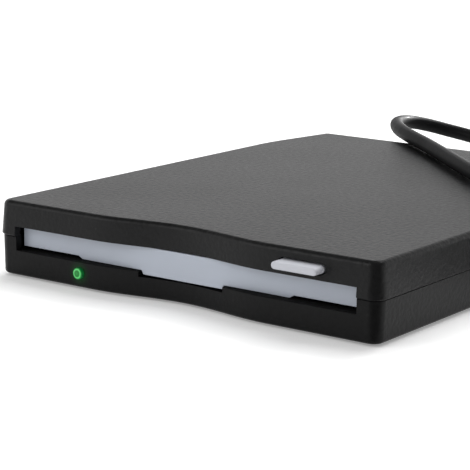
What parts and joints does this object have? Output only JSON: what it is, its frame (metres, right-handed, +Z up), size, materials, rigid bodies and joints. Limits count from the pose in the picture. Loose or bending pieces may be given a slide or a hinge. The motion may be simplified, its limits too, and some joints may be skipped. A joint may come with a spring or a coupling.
{
  "type": "external floppy disk drive",
  "caption": "Flat portable disk drive: slot with inward flap, eject button that lifts the disk holder, spindle, lead screw head carriage, wired lead with plug",
  "frame": {"origin": "on the table, under the middle of the drive's bounding box without its lead", "axes": "+X to the right seen from the slot, +Y from the slot to the back, +Z up"},
  "size_m": [0.1675, 0.1941, 0.0222],
  "materials": {
    "case_upper": "fine matt texture",
    "case_lower": "fine matt texture",
    "flap_grey": "satin",
    "button_grey": "satin",
    "rubber_black": "matt",
    "lens_green": "clear, lit from behind",
    "plated_steel": "zinc plated sheet",
    "bright_steel": "ground",
    "screw_steel": "dark plated",
    "spring_steel": "drawn wire",
    "bronze": "sintered",
    "cast_rotor": "machined",
    "magnet_black": "moulded magnet",
    "copper_coil": "enamelled copper",
    "board_green": "solder mask",
    "chip_black": "moulded",
    "carriage_black": "glass filled moulding",
    "ceramic": "lapped",
    "lever_cream": "acetal",
    "ribbon_cream": "film",
    "socket_cream": "moulded",
    "cord_black": "soft sheen",
    "plug_black": "satin",
    "plug_steel": "nickel plated",
    "plug_white": "moulded"
  },
  "bodies": {
    "case": {"upper_case": "case_upper", "lower_case": "case_lower", "case_screws": "screw_steel", "rubber_feet": "rubber_black", "flap_spring": "spring_steel", "guide_studs": "bright_steel", "eject_springs": "spring_steel", "chassis": "plated_steel", "chassis_screws": "screw_steel", "top_cover": "plated_steel", "trigger_post": "bright_steel", "spindle_bearing": "bronze", "stator_board": "board_green", "stator_coils": "copper_coil", "stepper_motor": "plated_steel", "stepper_bracket": "plated_steel", "guide_rods": "bright_steel", "main_board": "board_green", "main_board_chips": "chip_black", "track_zero_sensor": "chip_black", "bridge_board": "board_green", "bridge_board_chips": "chip_black", "board_ribbon": "ribbon_cream", "motor_ribbon": "ribbon_cream", "front_board": "board_green", "disk_switches": "chip_black", "lamp": "lens_green", "lamp_lens": "lens_green", "inner_lead": "cord_black", "lead_socket": "socket_cream", "strain_relief": "rubber_black", "usb_cord": "cord_black", "cord_coil": "cord_black", "cord_tail": "cord_black", "coil_tie": "rubber_black", "plug_grip": "plug_black", "plug_shell": "plug_steel", "plug_tongue": "plug_white"},
    "flap": {"flap": "flap_grey"},
    "ejector": {"eject_button": "button_grey", "eject_plate": "plated_steel"},
    "holder": {"disk_holder": "plated_steel", "lift_pins": "bright_steel"},
    "lever": {"trigger_lever": "lever_cream"},
    "spindle": {"rotor": "cast_rotor", "rotor_magnet": "magnet_black", "spindle_shaft": "bright_steel", "spindle_hub": "cast_rotor", "drive_pin": "bright_steel"},
    "carriage": {"head_carriage": "carriage_black", "lower_head": "ceramic", "arm_pin": "bright_steel"},
    "arm": {"upper_arm": "carriage_black", "upper_head": "ceramic"},
    "screw": {"lead_screw": "bright_steel"}
  },
  "joints": [
    {"name": "flap_hinge", "type": "hinge", "parent": "case", "child": "flap", "pos_m": [0, -0.06225, 0.0132], "axis": [1, 0, 0], "range_deg": [0, 90], "stiffness_Nm_per_rad": 0.0005, "springref_deg": -17.19},
    {"name": "eject_slide", "type": "slide", "parent": "case", "child": "ejector", "axis": [0, 1, 0], "range_m": [0, 0.0026], "stiffness_N_per_m": 300, "springref_m": -0.003, "deforming": ["eject_springs"]},
    {"name": "holder_lift", "type": "slide", "parent": "case", "child": "holder", "axis": [0, 0, 1], "range_m": [0, 0.0017]},
    {"name": "lever_swing", "type": "hinge", "parent": "case", "child": "lever", "pos_m": [-0.03, 0.03295, 0.00825], "axis": [0, 0, -1], "range_deg": [0, 40.01]},
    {"name": "spindle_spin", "type": "hinge", "parent": "case", "child": "spindle", "pos_m": [0, -0.01835, 0.005], "axis": [0, 0, 1], "continuous": true},
    {"name": "head_slide", "type": "slide", "parent": "case", "child": "carriage", "axis": [0, -1, 0], "range_m": [0, 0.0148]},
    {"name": "arm_lift", "type": "hinge", "parent": "carriage", "child": "arm", "pos_m": [0, 0.04865, 0.01195], "axis": [-1, 0, 0], "range_deg": [0, 7.01]},
    {"name": "screw_turn", "type": "hinge", "parent": "case", "child": "screw", "pos_m": [0.016, 0.035, 0.008], "axis": [0, 1, 0], "range_deg": [0, 1780]}
  ],
  "couplings": [
    {"joint": "holder_lift", "follows": "eject_slide", "ratio": 0.65385},
    {"joint": "lever_swing", "follows": "eject_slide", "rad_per_m": 268.51},
    {"joint": "arm_lift", "follows": "eject_slide", "rad_per_m": 46.99},
    {"joint": "screw_turn", "follows": "head_slide", "rad_per_m": 2094.4}
  ]
}
